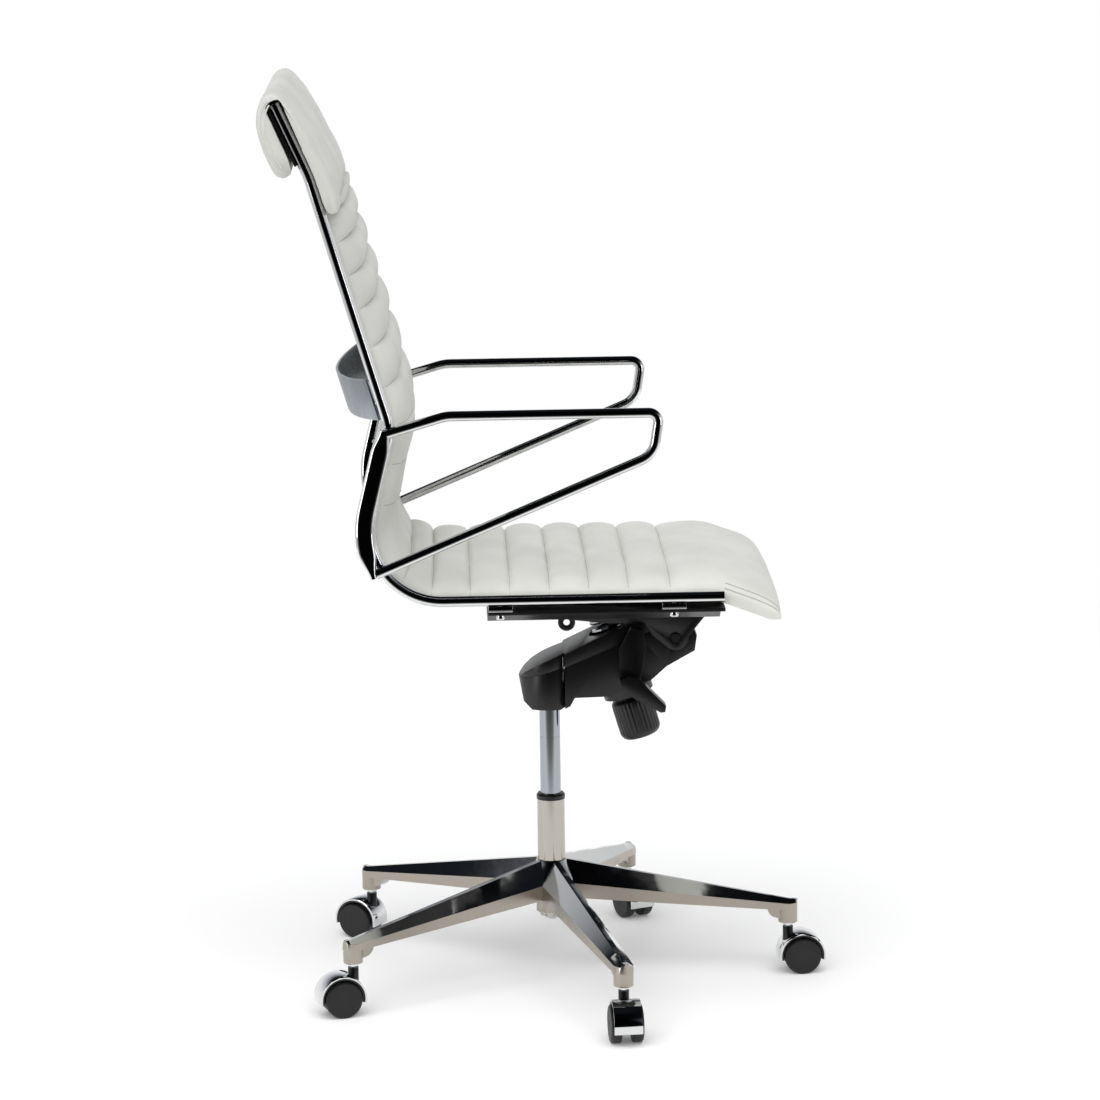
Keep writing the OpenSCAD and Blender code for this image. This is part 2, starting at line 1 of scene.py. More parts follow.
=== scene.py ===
"""Swivel office chair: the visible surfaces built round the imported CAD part.

Side-view points are (y, z) in millimetres. The front is -Y, the sitter's right is -X.
"""

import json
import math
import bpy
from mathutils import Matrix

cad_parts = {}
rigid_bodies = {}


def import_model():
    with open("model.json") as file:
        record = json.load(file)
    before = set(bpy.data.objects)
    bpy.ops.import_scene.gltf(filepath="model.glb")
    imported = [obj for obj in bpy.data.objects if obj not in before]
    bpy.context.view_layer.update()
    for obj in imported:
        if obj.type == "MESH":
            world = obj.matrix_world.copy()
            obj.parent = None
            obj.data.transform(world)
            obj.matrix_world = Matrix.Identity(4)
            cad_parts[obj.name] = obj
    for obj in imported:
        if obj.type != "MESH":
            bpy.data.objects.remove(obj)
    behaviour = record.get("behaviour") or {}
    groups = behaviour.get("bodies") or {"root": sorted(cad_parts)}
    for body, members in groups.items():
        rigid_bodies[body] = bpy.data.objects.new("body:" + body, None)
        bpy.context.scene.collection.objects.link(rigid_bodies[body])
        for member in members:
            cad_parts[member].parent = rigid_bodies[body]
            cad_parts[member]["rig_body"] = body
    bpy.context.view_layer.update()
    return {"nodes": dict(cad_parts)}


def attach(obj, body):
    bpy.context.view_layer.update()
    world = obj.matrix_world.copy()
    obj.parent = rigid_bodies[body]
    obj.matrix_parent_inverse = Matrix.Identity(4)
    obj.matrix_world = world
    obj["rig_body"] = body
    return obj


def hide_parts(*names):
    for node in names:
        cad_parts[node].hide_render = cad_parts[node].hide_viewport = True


bl_info = {
    "name": "Swivel office chair",
    "version": (1, 0, 0),
    "blender": (4, 5, 0),
    "location": "View3D > Sidebar > Chair",
    "description": "Builds the leather, castings and plated tubes of a swivel chair",
    "category": "Object",
}

import bmesh
import bpy
from bpy.props import FloatProperty, FloatVectorProperty, PointerProperty, StringProperty
from mathutils import Matrix, Vector, noise

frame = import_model()

MM = 0.001

# The rails' centreline, as in the CAD source
RAIL_X = 225.5
RAIL_CORNERS = [(-222, 563), (255, 563), (205, 790), (301, 1114), (342, 1205)]
RAIL_BENDS = [92, 60, 100]
RAIL_HALF_WIDTH = 9
RAIL_HALF_DEPTH = 7

# The sling's line: the rails', carried on round the seat's front edge
SLING_CORNERS = [(-296, 531), (-212, 563), (255, 563), (205, 790), (289.4, 1074)]
SLING_BENDS = [60, 92, 60]
SLING_HALF = 216

# Where each sewn seam meets the rail
SEAT_SEAMS = [(-152, 563), (-100, 563), (-49, 563), (3, 563), (54, 563), (105, 563), (158, 565), (198, 583)]
BACK_SEAMS = [
    (229, 690), (215, 742), (206, 793), (212, 841), (226, 892),
    (239, 941), (252, 985), (263, 1028), (274, 1066),
]
# How deep each back seam is, from 0 to 1: the lumbar seams are stretched nearly flat
BACK_SEAM_DEPTHS = [0.12, 0.15, 0.4, 0.8, 1, 1, 1, 1, 1]

# The arm loop's rod, and the flat bracket that screws to the rail
ARM_X = 241.4
ARM_CORNERS = [(212, 784), (133, 806.5), (-140, 806.5), (-131.5, 752), (226, 603)]
ARM_BENDS = [60, 12, 32]
BRACKET_CORNERS = [(211, 789), (244, 655), (229, 598)]
BRACKET_BENDS = [130]

# The base: angles in degrees, radii from the column's axis
LEG_COUNT = 5
FIRST_LEG = -93
LEG_STEP = 72
LEG_ROOT = 14
SOCKET_RADIUS = 320
SOCKET_HALF = 13

# The tension knob's foot, and how far it leans forward in degrees
KNOB_FOOT = (-125, 329.5)
KNOB_TILT = 16.6


# ---------- Small helpers ----------


def rgb(code):
    """An sRGB hex colour as linear red, green, blue and alpha."""
    parts = [int(code[i : i + 2], 16) / 255 for i in (1, 3, 5)]
    return [p / 12.92 if p <= 0.04045 else ((p + 0.055) / 1.055) ** 2.4 for p in parts] + [1.0]


def ramp(x, start, end):
    """0 before start, 1 after end, smooth between."""
    t = min(max((x - start) / (end - start), 0.0), 1.0)
    return t * t * (3 - 2 * t)


def side_path(corners, bends, spacing):
    """Stations (y, z, heading, length so far) along a polyline with rounded corners."""
    pts = [Vector(c) for c in corners]
    stations, length = [], 0.0
    start = pts[0]
    for i in range(1, len(pts)):
        run = (pts[i] - pts[i - 1]).normalized()
        heading = math.atan2(run.y, run.x)
        last = i == len(pts) - 1
        if last:
            turn, cut = 0.0, 0.0
        else:
            out = (pts[i + 1] - pts[i]).normalized()
            turn = math.atan2(run.x * out.y - run.y * out.x, run.dot(out))
            cut = bends[i - 1] * math.tan(abs(turn) / 2)
        end = pts[i] - run * cut
        span = (end - start).length
        steps = max(1, round(span / spacing))
        for k in range(steps + 1 if last else steps):
            p = start + run * (span * k / steps)
            stations.append((p.x, p.y, heading, length + span * k / steps))
        length += span
        if last:
            break
        side, radius = math.copysign(1, turn), bends[i - 1]
        centre = end + Vector((-run.y, run.x)) * side * radius
        arc = abs(turn) * radius
        steps = max(3, round(arc / spacing))
        for k in range(steps):
            h = heading + turn * k / steps
            p = centre + Vector((math.sin(h), -math.cos(h))) * side * radius
            stations.append((p.x, p.y, h, length + arc * k / steps))
        length += arc
        start = centre + Vector((math.sin(heading + turn), -math.cos(heading + turn))) * side * radius
    return stations


def nearest_length(stations, point):
    """How far along the stations a point lies."""
    return min(stations, key=lambda s: math.hypot(s[0] - point[0], s[1] - point[1]))[3]


def section_frame(x, station, half_width, half_depth):
    """Places a unit ring across the chair at a station, its y towards the path's left."""
    y, z, heading = station[:3]
    along = Vector((0, math.cos(heading), math.sin(heading)))
    left = Vector((0, -math.sin(heading), math.cos(heading)))
    m = Matrix.Identity(4)
    m.col[0] = Vector((half_width, 0, 0, 0)) * MM
    m.col[1] = left.to_4d() * half_depth * MM
    m.col[1][3] = 0
    m.col[2] = along.to_4d()
    m.col[2][3] = 0
    m.col[3] = Vector((x * MM, y * MM, z * MM, 1))
    return m


def unit_ring(bm, segments, squareness):
    """A closed ring between a circle (squareness 2) and a rounded square (4 and more)."""
    ring = bmesh.ops.create_circle(bm, cap_ends=False, segments=segments, radius=1)["verts"]
    for v in ring:
        a = math.atan2(v.co.y, v.co.x)
        v.co.x = math.copysign(abs(math.cos(a)) ** (2 / squareness), math.cos(a))
        v.co.y = math.copysign(abs(math.sin(a)) ** (2 / squareness), math.sin(a))
    return ring


def loft(bm, ring, frames, marks=None):
    """Carries a ring through a list of frames, with an end face at each end."""
    bmesh.ops.transform(bm, matrix=frames[0], verts=ring)
    edges = list({e for v in ring for e in v.link_edges})
    first = list(edges)
    if marks:
        marks(0, ring)
    for i in range(1, len(frames)):
        out = bmesh.ops.extrude_edge_only(bm, edges=edges)["geom"]
        ring = [g for g in out if isinstance(g, bmesh.types.BMVert)]
        new = set(ring)
        edges = [g for g in out if isinstance(g, bmesh.types.BMEdge) and new.issuperset(g.verts)]
        bmesh.ops.transform(bm, matrix=frames[i] @ frames[i - 1].inverted(), verts=ring)
        if marks:
            marks(i, ring)
    for loop in (first, edges):
        bmesh.ops.edgeloop_fill(bm, edges=loop)


def finish_mesh(bm, name, finish, body, replaced=(), sharp=35):
    """Turns a bmesh into a piece on its CAD body."""
    bmesh.ops.recalc_face_normals(bm, faces=bm.faces)
    mesh = bpy.data.meshes.new(name)
    bm.to_mesh(mesh)
    bm.free()
    piece = bpy.data.objects.new(name, mesh)
    bpy.context.scene.collection.objects.link(piece)
    mesh.materials.append(material(finish))
    mesh.shade_smooth()
    mesh.set_sharp_from_angle(angle=math.radians(sharp))
    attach(piece, body)
    if replaced:
        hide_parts(*replaced)
    return piece


def bevel(bm, edges, width, segments):
    """Rounds edges over, width in millimetres."""
    bmesh.ops.bevel(
        bm, geom=edges, offset=width * MM, offset_type="OFFSET", segments=segments,
        profile=0.5, affect="EDGES", clamp_overlap=True, material=-1,
    )


def sharp_edges(bm, degrees):
    """Edges whose two faces meet at more than the angle."""
    limit = math.radians(degrees)
    return [e for e in bm.edges if len(e.link_faces) == 2 and e.calc_face_angle(0) > limit]


def rounded_copy(node, width, finish, segments=2, sharp=28):
    """A CAD node's own shape with its edges softened."""
    source = frame["nodes"][node]
    bm = bmesh.new()
    bm.from_mesh(source.data)
    bmesh.ops.remove_doubles(bm, verts=bm.verts, dist=0.00001)
    bmesh.ops.dissolve_limit(bm, angle_limit=math.radians(0.6), verts=bm.verts, edges=bm.edges)
    bevel(bm, sharp_edges(bm, sharp), width, segments)
    return finish_mesh(bm, node + "_rounded", finish, source["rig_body"], [node], sharp=40)


# ---------- Materials ----------


def new_material(name, **settings):
    """An empty Principled material; settings go on its shader's own sockets."""
    material = bpy.data.materials.new(name)
    material.use_nodes = True
    shader = material.node_tree.nodes["Principled BSDF"]
    for socket, value in settings.items():
        shader.inputs[socket.replace("_", " ")].default_value = value
    return material, material.node_tree, shader


def add(tree, kind, links=None, stops=(), **settings):
    """Adds a node: links are {input: (node, output)} or {input: value}, stops a ramp's colours."""
    node = tree.nodes.new(kind)
    for k, (position, colour) in enumerate(stops):
        elements = node.color_ramp.elements
        element = elements[k] if k < len(elements) else elements.new(position)
        element.position, element.color = position, rgb(colour)
    for field, value in settings.items():
        setattr(node, field, value)
    for key, source in (links or {}).items():
        if isinstance(source, tuple) and isinstance(source[0], bpy.types.Node):
            tree.links.new(source[0].outputs[source[1]], node.inputs[key])
        else:
            node.inputs[key].default_value = source
    return node


def plated(name, colour, low, high):
    """Polished metal: a near mirror with faint wear in its gloss, between two roughnesses."""
    material, tree, shader = new_material(name, Metallic=1.0, Base_Color=rgb(colour))
    where = add(tree, "ShaderNodeTexCoord")
    wear = add(tree, "ShaderNodeTexNoise", {"Vector": (where, "Object"), "Scale": 45.0, "Detail": 5.0})
    gloss = add(tree, "ShaderNodeMapRange", {
        "Value": (wear, 0), "From Min": 0.35, "From Max": 0.7, "To Min": low, "To Max": high,
    })
    tree.links.new(gloss.outputs[0], shader.inputs["Roughness"])
    return material


def die_cast(name, mirror, satin):
    """Aluminium casting: buffed on the faces that look up, left satin on the upright walls, whose beige-grey
    colour is painted reflection of a warm floor.
    """
    material, tree, shader = new_material(name, Metallic=1.0)
    where = add(tree, "ShaderNodeTexCoord")
    facing = add(tree, "ShaderNodeSeparateXYZ", {0: (where, "Normal")})
    lift = add(tree, "ShaderNodeMath", {0: (facing, "Z")}, operation="ABSOLUTE")
    upright = add(tree, "ShaderNodeMapRange", {"Value": (lift, 0), "From Min": 0.22, "From Max": 0.34})
    # painted reflection: the upright walls take the satin colour, a beige grey that stands in for a warm
    # floor mirrored in them, not the metal's own colour
    wall_reflection_tint = add(tree, "ShaderNodeValToRGB", {"Fac": (upright, 0)}, stops=[(0.0, satin), (1.0, mirror)])
    tree.links.new(wall_reflection_tint.outputs[0], shader.inputs["Base Color"])
    gloss = add(tree, "ShaderNodeMapRange", {"Value": (upright, 0), "To Min": 0.3, "To Max": 0.08})
    tree.links.new(gloss.outputs[0], shader.inputs["Roughness"])
    # slow waves 22 mm long, 0.25 mm high, left by the buffing wheel
    ripple = add(tree, "ShaderNodeTexNoise", {
        "Vector": (where, "Object"), "Scale": 1000.0 / 22.0, "Detail": 1.0,
    })
    bump = add(tree, "ShaderNodeBump", {"Height": (ripple, 0), "Strength": 0.6, "Distance": 0.25 * MM})
    tree.links.new(bump.outputs[0], shader.inputs["Normal"])
    return material


def moulded(name, colour, roughness, grain, grain_mm):
    """Black plastic or powder paint: an even colour with a fine grain."""
    material, tree, shader = new_material(name, Roughness=roughness)
    where = add(tree, "ShaderNodeTexCoord")
    speck = add(tree, "ShaderNodeTexNoise", {
        "Vector": (where, "Object"), "Scale": 1000.0 / grain_mm, "Detail": 3.0,
    })
    shade = add(tree, "ShaderNodeValToRGB", {"Fac": (speck, 0)}, stops=[(0.3, colour[0]), (0.7, colour[1])])
    tree.links.new(shade.outputs[0], shader.inputs["Base Color"])
    bump = add(tree, "ShaderNodeBump", {"Height": (speck, 0), "Strength": 0.5, "Distance": grain * MM})
    tree.links.new(bump.outputs[0], shader.inputs["Normal"])
    return material


def leather_material(name, light, dark):
    """Coated leather: pebbled grain, broad tone changes and a soft, even gloss."""
    material, tree, shader = new_material(name, IOR=1.48)
    where = add(tree, "ShaderNodeTexCoord")
    tone = add(tree, "ShaderNodeTexNoise", {"Vector": (where, "Object"), "Scale": 14.0, "Detail": 4.0})
    colour = add(tree, "ShaderNodeValToRGB", {"Fac": (tone, 0)}, stops=[(0.35, dark), (0.65, light)])
    tree.links.new(colour.outputs[0], shader.inputs["Base Color"])
    # pebbles 1.1 mm across: a real grain is about 0.7 mm, drawn coarser so that it shows
    pebble = add(tree, "ShaderNodeTexVoronoi", {"Vector": (where, "Object"), "Scale": 900.0},
                 feature="DISTANCE_TO_EDGE")
    fine = add(tree, "ShaderNodeTexNoise", {"Vector": (where, "Object"), "Scale": 260.0, "Detail": 4.0})
    mix = add(tree, "ShaderNodeMath", {0: (pebble, 0), 1: (fine, 0)}, operation="ADD")
    bump = add(tree, "ShaderNodeBump", {"Height": (mix, 0), "Strength": 0.35, "Distance": 0.12 * MM})
    tree.links.new(bump.outputs[0], shader.inputs["Normal"])
    gloss = add(tree, "ShaderNodeMapRange", {
        "Value": (fine, 0), "From Min": 0.3, "From Max": 0.7, "To Min": 0.36, "To Max": 0.48,
    })
    tree.links.new(gloss.outputs[0], shader.inputs["Roughness"])
    return material


MATERIALS = {}


def material(name):
    """Each finish of the chair, made once."""
    leather = bpy.context.scene.chair_leather
    if name not in MATERIALS:
        MATERIALS[name] = {
            # electroplated chrome on steel: a cold mirror
            "chrome": lambda: plated("bright_chrome_plate", "#D9DADB", 0.03, 0.07),
            # buffed aluminium die casting: a mirror with slow waves, its upright walls tinted beige grey as
            # painted reflection
            "casting": lambda: die_cast("buffed_aluminium_casting", "#C9C9C8", "#A8A198"),
            # ground and chromed tube of the gas spring, and the fixed tube round it
            "ground_tube": lambda: plated("ground_steel_tube", "#A2A6AC", 0.05, 0.09),
            "fixed_tube": lambda: plated("polished_steel_tube", "#B3AFA7", 0.07, 0.12),
            # satin-nickel strap: blurred reflections, bluish
            "satin": lambda: plated("satin_nickel_plate", "#868C95", 0.26, 0.34),
            # zinc-plated steel for screws and pins
            "steel": lambda: plated("zinc_plated_steel", "#B4B6BA", 0.16, 0.26),
            # glass-filled nylon, moulded: deep black with a soft sheen
            "plastic": lambda: moulded("moulded_black_nylon", ("#070708", "#0C0C0D"), 0.33, 0.03, 0.9),
            # polyurethane wheels: matt black
            "tread": lambda: moulded("matt_black_polyurethane", ("#060606", "#0C0C0D"), 0.5, 0.05, 1.2),
            # powder-painted steel plates: satin black with an orange-peel skin
            "paint": lambda: moulded("black_powder_paint", ("#060607", "#0A0A0B"), 0.36, 0.08, 1.6),
            "leather": lambda: leather_material("white_coated_leather", leather.light_hex, leather.dark_hex),
            "thread": lambda: leather_material("grey_sewing_thread", "#B9BAB3", "#A9AAA3"),
        }[name]()
    return MATERIALS[name]


# ---------- Properties ----------


class ChairLeather(bpy.types.PropertyGroup):
    """Colours and padding of the leather."""

    light_hex: StringProperty(
        name="Light tone", description="sRGB colour of most of the leather", default="#DADAD4")
    dark_hex: StringProperty(
        name="Dark tone", description="sRGB colour of the leather's faint clouding", default="#D0D0CA")
    crest: FloatProperty(
        name="Crest", description="Height of a rib in front of the rail's centreline",
        default=36 * MM, min=28 * MM, max=40 * MM, unit="LENGTH")
    valley: FloatProperty(
        name="Valley", description="Height of a seam in front of the rail's centreline",
        default=25 * MM, min=18 * MM, max=30 * MM, unit="LENGTH")


class ChairStage(bpy.types.PropertyGroup):
    """Camera, floor and lights."""

    camera_at: FloatVectorProperty(
        name="Camera", description="Place of the camera",
        default=(-5.5894, 0.1396, 1.6215), subtype="TRANSLATION")
    camera_turn: FloatVectorProperty(
        name="Camera turn", description="Turn of the camera about x, y and z",
        default=[math.radians(a) for a in (79.508, 0.794, -91.615)], subtype="EULER")
    lens: FloatProperty(name="Lens", description="Focal length", default=138.9, min=10.0, unit="CAMERA")
    floor_radius: FloatProperty(
        name="Floor", description="Radius of the floor paper", default=2.3, min=1.0, unit="LENGTH")
    wash_power: FloatProperty(
        name="Wash", description="Strength of the even overhead light", default=2.35, min=0.0)


# ---------- Leather ----------


def rib_shape(u):
    """A stuffed rib between two seams at u = 0 and 1, as a share of its height."""
    return max(0.0, 4 * u * (1 - u)) ** 0.55


def sling_height(settings, seams, length, total, t):
    """Height of the sling's front face above the rail's centreline, in millimetres."""
    before = max([s for s in seams if s[0] <= length], default=(0, 0))
    after = min([s for s in seams if s[0] > length], default=(total + 12, 0.6))
    u = (length - before[0]) / (after[0] - before[0])
    deep = before[1] + (after[1] - before[1]) * u
    if before[0] == 0:  # the plain front bolster has one seam, behind it
        u = 0.5 + 0.5 * (length / after[0]) ** 3
        deep = after[1]
    crest, valley = settings.crest / MM, settings.valley / MM
    height = crest - (crest - valley) * deep * (1 - rib_shape(u)) - 2.5 * (1 - deep)
    # the front edge rolls under
    roll = min(length / 46, 1)
    height *= math.sqrt(max(0.0, 1 - (1 - roll) ** 2.2))
    # the sides roll down to the rails
    crown = max(0.0, 1 - abs(t) ** 4.6) ** 0.5
    return 3 + (height - 3) * crown


def pucker(x, length, seams):
    """Small gathers that run out from each seam."""
    gap = min(abs(length - s[0]) for s in seams)
    nearest = min(range(len(seams)), key=lambda i: abs(length - seams[i][0]))
    fold = noise.noise(Vector((x * 0.075, nearest * 7.3, length * 0.012)))
    return 1.5 * fold * math.exp(-gap / 9)


def rear_ribs(seams, length):
    """How far the sling's rear face stands out between its seams, from 0 to 1."""
    before = max([s[0] for s in seams if s[0] <= length], default=0)
    after = min([s[0] for s in seams if s[0] > length], default=length + 25)
    return rib_shape(min(1.0, (length - before) / max(after - before, 1)))


def sling_point(settings, stations, seams, i, t, front):
    """A point of the sling's front or rear face, in metres."""
    y, z, heading, length = stations[i]
    total = stations[-1][3]
    if front:
        h = sling_height(settings, seams, length, total, t)
        inner = 1 - abs(t) ** 8
        h += inner * pucker(t * SLING_HALF, length, seams)
        h += inner * 1.6 * noise.noise(Vector((t * 2.6, length * 0.016, 3.1)))
    else:
        h = -6.5 - 2.2 * (1 - abs(t) ** 6) * rear_ribs(seams, length)
        h *= min(1.0, 0.35 + length / 20)
    left = (-math.sin(heading), math.cos(heading))
    return Vector((t * SLING_HALF * MM, (y + left[0] * h) * MM, (z + left[1] * h) * MM))


def sling_layout():
    """The sling's stations, and its seams as (length, depth)."""
    stations = side_path(SLING_CORNERS, SLING_BENDS, 3.2)
    seams = [(nearest_length(stations, p), 1.0) for p in SEAT_SEAMS]
    seams += [(nearest_length(stations, p), depth) for p, depth in zip(BACK_SEAMS, BACK_SEAM_DEPTHS)]
    return stations, sorted(seams)


class CHAIR_OT_sling(bpy.types.Operator):
    """Build the ribbed leather sling of seat and back"""

    bl_idname = "chair.sling"
    bl_label = "Seat and back leather"

    def execute(self, context):
        settings = context.scene.chair_leather
        stations, seams = sling_layout()
        bm = bmesh.new()
        along = bm.verts.layers.int.new("along")
        across = bm.verts.layers.float.new("across")
        face = bm.verts.layers.int.new("face")
        columns = 96
        ring = bmesh.ops.create_circle(bm, cap_ends=False, segments=2 * columns, radius=1)["verts"]
        for v in ring:
            a = math.atan2(v.co.y, v.co.x)
            v[across] = math.sin(math.pi / 2 * math.cos(a)) * 0.5 + math.cos(a) * 0.5
            v[face] = 1 if v.co.y > 1e-6 else (-1 if v.co.y < -1e-6 else 0)

        def mark(i, verts):
            for v in verts:
                v[along] = i

        frames = [section_frame(0, s, SLING_HALF, 10) for s in stations]
        loft(bm, ring, frames, marks=mark)
        for v in bm.verts:
            i, t = v[along], v[across]
            if v[face] == 0:
                front = sling_point(settings, stations, seams, i, t, True)
                rear = sling_point(settings, stations, seams, i, t, False)
                v.co = front.lerp(rear, 0.5)
            else:
                v.co = sling_point(settings, stations, seams, i, t, v[face] > 0)
        piece = finish_mesh(bm, "sling_leather", "leather", "seat",
                            ["seat_cushion", "back_cushion"], sharp=70)

        # the stitched line at the bottom of each seam
        bm = bmesh.new()
        for length, share in seams:
            i = min(range(len(stations)), key=lambda k: abs(stations[k][3] - length))
            steps = 70
            frames = []
            for k in range(steps + 1):
                t = -0.995 + 1.99 * k / steps
                p = sling_point(settings, stations, seams, i, t, True)
                m = Matrix.Translation(p) @ Matrix.Rotation(math.pi / 2, 4, "Y")
                frames.append(m @ Matrix.Diagonal((0.7 * MM, 0.7 * MM, 1, 1)))
            loft(bm, unit_ring(bm, 6, 2), frames)
        # two rows of stitching along each side of the front edge
        edge = [i for i, s in enumerate(stations) if 2 < s[3] < 84]
        for t in (-0.985, -0.955, 0.955, 0.985):
            frames = []
            for i in edge:
                p = sling_point(settings, stations, seams, i, t, True)
                frames.append(section_frame(p.x / MM, (p.y / MM, p.z / MM, stations[i][2]), 0.8, 0.8))
            loft(bm, unit_ring(bm, 6, 2), frames)
        finish_mesh(bm, "seam_lines", "thread", "seat")
        return {"FINISHED"}


def smooth_loop(points, count):
    """A closed Catmull-Rom curve through the points, evenly spaced."""
    n = len(points)
    fine = []
    for i in range(n):
        p0, p1, p2, p3 = (Vector(points[(i + k - 1) % n]) for k in range(4))
        for k in range(12):
            t = k / 12
            square = 2 * p0 - 5 * p1 + 4 * p2 - p3
            cube = 3 * p1 - p0 - 3 * p2 + p3
            fine.append(0.5 * (2 * p1 + (p2 - p0) * t + square * t * t + cube * t ** 3))
    lengths = [0.0]
    for a, b in zip(fine, fine[1:] + fine[:1]):
        lengths.append(lengths[-1] + (b - a).length)
    out, j = [], 0
    for k in range(count):
        want = lengths[-1] * k / count
        while lengths[j + 1] < want:
            j += 1
        share = (want - lengths[j]) / max(lengths[j + 1] - lengths[j], 1e-9)
        out.append(fine[j].lerp(fine[(j + 1) % len(fine)], share))
    return out


# The head cushion seen from the side: up the front pad, over the top, down the flap, back up the slot
HEAD_OUTLINE = [
    (263, 1071), (263, 1084), (266, 1096), (273, 1116), (284, 1138), (296, 1163), (308, 1182), (317, 1196),
    (326, 1207), (333, 1215), (342, 1219.5), (352, 1217), (360, 1208), (365, 1193), (365.5, 1173),
    (358.5, 1149), (349, 1128), (342, 1116), (335, 1112.5), (328.5, 1113.5), (322.5, 1119), (325.5, 1136),
    (336.8, 1162), (344.5, 1180), (351.6, 1196.5), (350.5, 1204.5), (344, 1209.8), (336, 1210.8),
    (331.5, 1205), (325.5, 1190), (306, 1144), (291.5, 1108), (281, 1075), (272, 1066),
]
# Which of those points end the front pad and the flap
HEAD_TOP = 10
HEAD_FLAP = 18
HEAD_HALF = 239


class CHAIR_OT_headrest(bpy.types.Operator):
    """Build the head cushion that folds over the frame's top"""

    bl_idname = "chair.headrest"
    bl_label = "Head cushion"

    def execute(self, context):
        outline = smooth_loop(HEAD_OUTLINE, 220)
        count = len(outline)
        normals = []
        for k in range(count):
            step = outline[(k + 1) % count] - outline[k - 1]
            normals.append(Vector((-step.y, step.x)).normalized())
        area = sum(outline[k - 1].x * outline[k].y - outline[k].x * outline[k - 1].y for k in range(count))
        inward = 1 if area > 0 else -1
        top, flap = (
            min(range(count), key=lambda k: (outline[k] - Vector(HEAD_OUTLINE[corner])).length)
            for corner in (HEAD_TOP, HEAD_FLAP)
        )
        bm = bmesh.new()
        index = bm.verts.layers.int.new("index")
        ring = bmesh.ops.create_circle(bm, cap_ends=False, segments=count, radius=1)["verts"]
        for k, v in enumerate(ring):
            v[index] = k
            v.co = Vector((outline[k].x * MM, outline[k].y * MM, 0))
        turn = Matrix(((0, 0, 1, 0), (1, 0, 0, 0), (0, 1, 0, 0), (0, 0, 0, 1)))
        end = 20.0
        ends = [end * (1 - math.cos(math.pi / 2 * k / 9)) for k in range(10)]
        middle = [-HEAD_HALF + end + (2 * HEAD_HALF - 2 * end) * k / 70 for k in range(1, 70)]
        xs = [-HEAD_HALF + e for e in ends] + middle + [HEAD_HALF - e for e in reversed(ends)]
        frames = [Matrix.Translation((x * MM, 0, 0)) @ turn for x in xs]
        loft(bm, ring, frames)
        for v in bm.verts:
            k, x = v[index], v.co.x / MM
            p, n = outline[k], normals[k] * inward
            near = max(0.0, (abs(x) - (HEAD_HALF - end)) / end)
            tuck = 1 - math.sqrt(max(0.0, 1 - near * near))
            # the ends round off most on the front pad, less behind, hardly at all in the slot
            if k <= top:
                inset = 4.5 + 4.5 * ramp(1195 - p.y, 0, 60)
            elif k <= flap:
                inset = 3.5
            else:
                inset = 0.6
            soft = 1.4 * noise.noise(Vector((x * 0.012, p.x * 0.02, p.y * 0.02))) if k <= flap else 0.0
            q = p + n * (inset * tuck + soft)
            v.co = Vector((v.co.x, q.x * MM, q.y * MM))
        # piping round the flap's end panels
        for side in (-1, 1):
            for deep, out in ((6.5, 0.4), (12.0, 0.4)):
                cord = []
                for k in range(top + 6, flap - 2):
                    q = outline[k] + normals[k] * inward * deep
                    step = (outline[k + 1] - outline[k]).normalized()
                    station = (q.x, q.y, math.atan2(step.y, step.x))
                    cord.append(section_frame(side * (HEAD_HALF - out), station, 1.1, 1.1))
                loft(bm, unit_ring(bm, 8, 2), cord)
        piece = finish_mesh(bm, "head_cushion", "leather", "seat", ["headrest"], sharp=75)
        return {"FINISHED"}


# ---------- Frame and arms ----------


class CHAIR_OT_rails(bpy.types.Operator):
    """Build the two chromed side rails"""

    bl_idname = "chair.rails"
    bl_label = "Side rails"

    def execute(self, context):
        stations = side_path(RAIL_CORNERS, RAIL_BENDS, 5)
        for side, node in ((-1, "rail_right"), (1, "rail_left")):
            bm = bmesh.new()
            frames = [section_frame(side * RAIL_X, s, RAIL_HALF_WIDTH, RAIL_HALF_DEPTH) for s in stations]
            loft(bm, unit_ring(bm, 48, 2.4), frames)
            finish_mesh(bm, node + "_tube", "chrome", "seat", [node], sharp=50)
        return {"FINISHED"}


def tapered(stations, widths):
    """A half width for each station, eased between (share of length, width) pairs."""
    total = stations[-1][3]
    out = []
    for s in stations:
        share = s[3] / total
        for (a, wa), (b, wb) in zip(widths, widths[1:]):
            if share <= b or (b, wb) == widths[-1]:
                out.append(wa + (wb - wa) * ramp(share, a, b))
                break
    return out


class CHAIR_OT_arms(bpy.types.Operator):
    """Build the cast arm loops with their brackets"""

    bl_idname = "chair.arms"
    bl_label = "Arm loops"

    def execute(self, context):
        rod = side_path(ARM_CORNERS, ARM_BENDS, 2.5)
        bracket = side_path(BRACKET_CORNERS, BRACKET_BENDS, 3)
        halves = tapered(bracket, [(0, 7), (0.16, 11.8), (0.82, 11.8), (1, 4.5)])
        # the bracket's face lies a little below the rods and rises to meet them at both ends
        depths = tapered(bracket, [(0, 6.7), (0.13, 5.6), (0.86, 5.6), (1, 6.7)])
        for side, node in ((-1, "arm_right"), (1, "arm_left")):
            bm = bmesh.new()
            loft(bm, unit_ring(bm, 28, 2.3), [section_frame(side * ARM_X, s, 6.5, 6.5) for s in rod])
            frames = [section_frame(side * ARM_X, s, d, w) for s, d, w in zip(bracket, depths, halves)]
            loft(bm, unit_ring(bm, 44, 2.9), frames)
            finish_mesh(bm, node + "_casting", "chrome", "seat", [node], sharp=50)
        return {"FINISHED"}


# ---------- Base ----------


